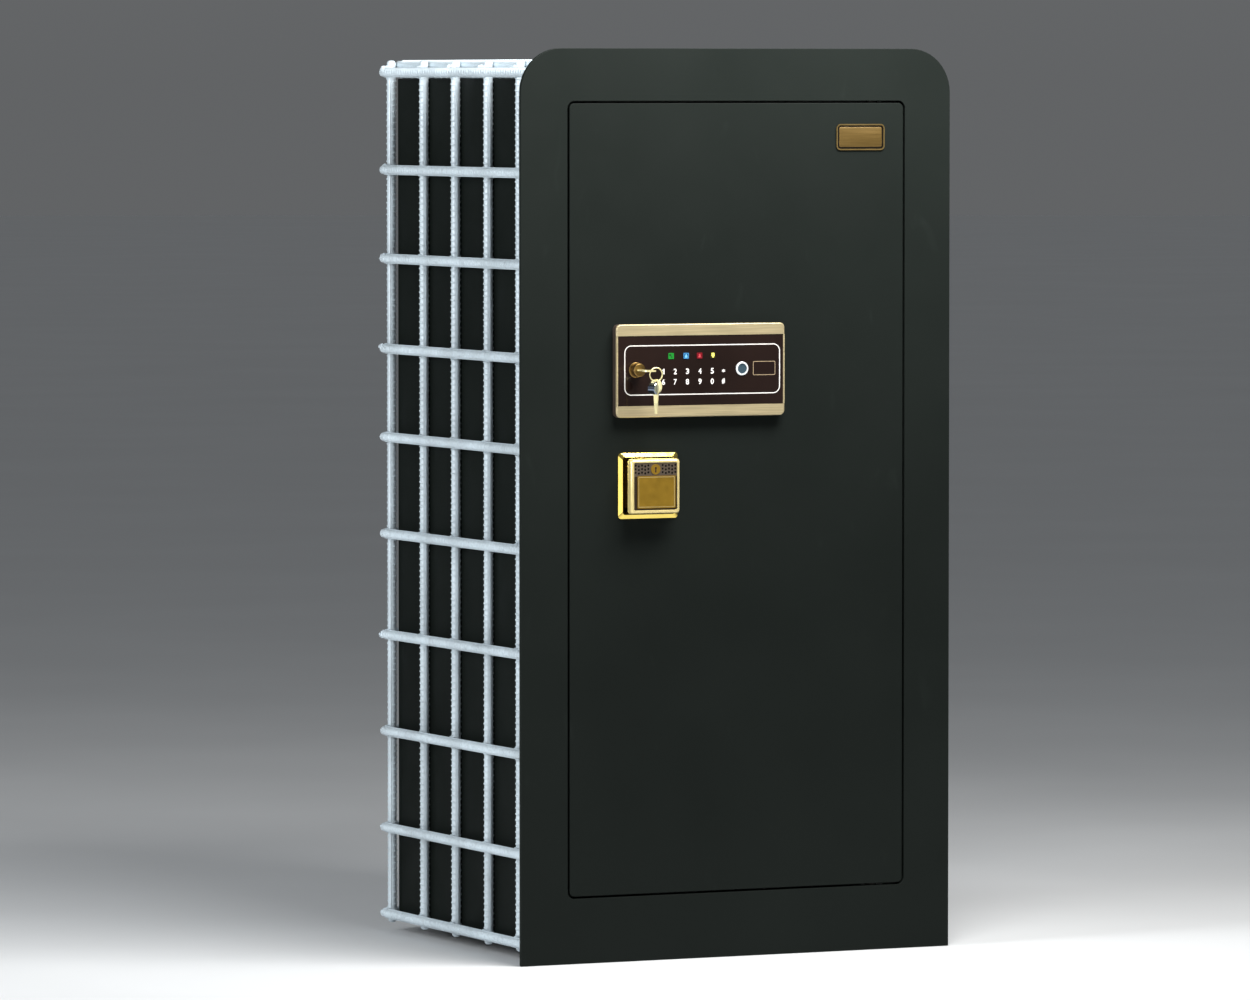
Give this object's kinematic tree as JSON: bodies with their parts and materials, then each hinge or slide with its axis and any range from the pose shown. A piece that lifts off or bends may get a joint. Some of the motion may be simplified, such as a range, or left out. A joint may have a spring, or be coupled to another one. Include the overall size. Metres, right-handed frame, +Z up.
{
  "type": "fireproof safe",
  "caption": "Tall fireproof safe with a flush keypad door, turning square knob, sliding lock bolts and a welded cage of ribbed bars round its body.",
  "frame": {"origin": "middle of the whole safe's footprint, on the floor", "axes": "+X to the right and -Y out of the door as seen by its user, +Z up"},
  "size_m": [0.628, 0.5867, 1.2],
  "materials": {
    "front_paint": "fine-textured charcoal powder coat",
    "door_paint": "fine-textured charcoal powder coat",
    "body_paint": "matt black paint",
    "bar_paint": "pale blue-silver paint on ribbed bar",
    "liner_paint": "pale grey paint",
    "steel": "brushed steel",
    "bolt_chrome": "bright chrome",
    "zinc": "zinc plated",
    "gold": "polished gold plate",
    "pale_gold": "satin pale gold",
    "window_gloss": "glossy dark brown",
    "panel_plastic": "dark moulded plastic",
    "fire_fill": "cast fire-resisting concrete",
    "seal_rubber": "black intumescent strip",
    "lens": "printed lens",
    "sensor_silver": "satin silver ring",
    "sensor_glass": "dark glossy sensor",
    "knob_dark": "dark bronzed plate",
    "bronze": "bare bronze",
    "board_green": "green circuit board",
    "battery_plastic": "black plastic",
    "cap_chrome": "polished chrome",
    "lock_brass": "antique brass"
  },
  "bodies": {
    "frame": {"front_frame": "front_paint", "bolt_keepers": "front_paint", "hinge_bearings": "front_paint", "shell_left": "body_paint", "shell_right": "body_paint", "shell_top": "body_paint", "shell_floor": "body_paint", "shell_back": "body_paint", "inner_liner": "liner_paint", "fire_fill": "fire_fill", "stop_flange": "liner_paint", "anchor_sleeves": "zinc", "base_skids": "body_paint", "shelves": "liner_paint", "shelf_clips": "zinc", "left_uprights": "bar_paint", "right_uprights": "bar_paint", "left_crossbars": "bar_paint", "right_crossbars": "bar_paint", "rear_uprights": "bar_paint", "rear_crossbars": "bar_paint", "top_bars": "bar_paint"},
    "door": {"door_plate": "door_paint", "door_fill": "fire_fill", "door_pan": "liner_paint", "mounting_plate": "zinc", "door_cover": "liner_paint", "fire_seal": "seal_rubber", "hinge_blocks": "steel", "hinge_pins": "steel", "dead_bar": "zinc", "spindle_bush": "bronze", "bolt_guides": "zinc", "solenoid_body": "zinc", "battery_box": "battery_plastic", "circuit_board": "board_green", "knob_rose": "gold", "keypad_base": "panel_plastic", "keypad_trims": "pale_gold", "keypad_window": "window_gloss", "indicator_lenses": "lens", "sensor_ring": "sensor_silver", "sensor_lens": "sensor_glass", "badge_plate": "knob_dark", "lock_barrel": "lock_brass"},
    "knob": {"knob_block": "gold", "knob_insert": "knob_dark", "knob_spindle": "steel", "cam_disc": "zinc"},
    "side_bolt_work": {"side_carriage": "zinc", "side_bolts": "bolt_chrome"},
    "top_bolt": {"top_rod": "zinc"},
    "bottom_bolt": {"bottom_rod": "zinc"},
    "plunger": {"solenoid_plunger": "steel"},
    "lock_core": {"lock_plug": "lock_brass", "key": "gold"},
    "ring": {"key_ring": "gold"},
    "hanging_key": {"spare_key": "gold", "spare_key_cap": "cap_chrome"}
  },
  "joints": [
    {"name": "door_hinge", "type": "hinge", "parent": "frame", "child": "door", "pos_m": [0.204, -0.21333, 0.60825], "axis": [0, 0, 1], "range_deg": [0, 105]},
    {"name": "knob_turn", "type": "hinge", "parent": "door", "child": "knob", "pos_m": [-0.1317, -0.22733, 0.6264], "axis": [0, -1, 0], "range_deg": [0, 90]},
    {"name": "side_bolt_slide", "type": "slide", "parent": "door", "child": "side_bolt_work", "axis": [-1, 0, 0], "range_m": [0, 0.026]},
    {"name": "top_bolt_slide", "type": "slide", "parent": "door", "child": "top_bolt", "axis": [0, 0, 1], "range_m": [0, 0.026]},
    {"name": "bottom_bolt_slide", "type": "slide", "parent": "door", "child": "bottom_bolt", "axis": [0, 0, -1], "range_m": [0, 0.026]},
    {"name": "plunger_slide", "type": "slide", "parent": "door", "child": "plunger", "axis": [-0.7071, 0, 0.7071], "range_m": [0, 0.005]},
    {"name": "key_turn", "type": "hinge", "parent": "door", "child": "lock_core", "pos_m": [-0.1544, -0.22733, 0.779], "axis": [0, 1, 0], "range_deg": [0, 90]},
    {"name": "ring_swing", "type": "hinge", "parent": "lock_core", "child": "ring", "pos_m": [-0.15355, -0.28433, 0.779], "axis": [0, -1, 0], "range_deg": [0, 60]},
    {"name": "spare_key_swing", "type": "hinge", "parent": "ring", "child": "hanging_key", "pos_m": [-0.14605, -0.28433, 0.7653], "axis": [1, 0, 0], "range_deg": [-30, 30]}
  ],
  "couplings": [
    {"joint": "side_bolt_slide", "follows": "knob_turn", "m_per_rad": 0.016552},
    {"joint": "top_bolt_slide", "follows": "knob_turn", "m_per_rad": 0.016552},
    {"joint": "bottom_bolt_slide", "follows": "knob_turn", "m_per_rad": 0.016552}
  ]
}
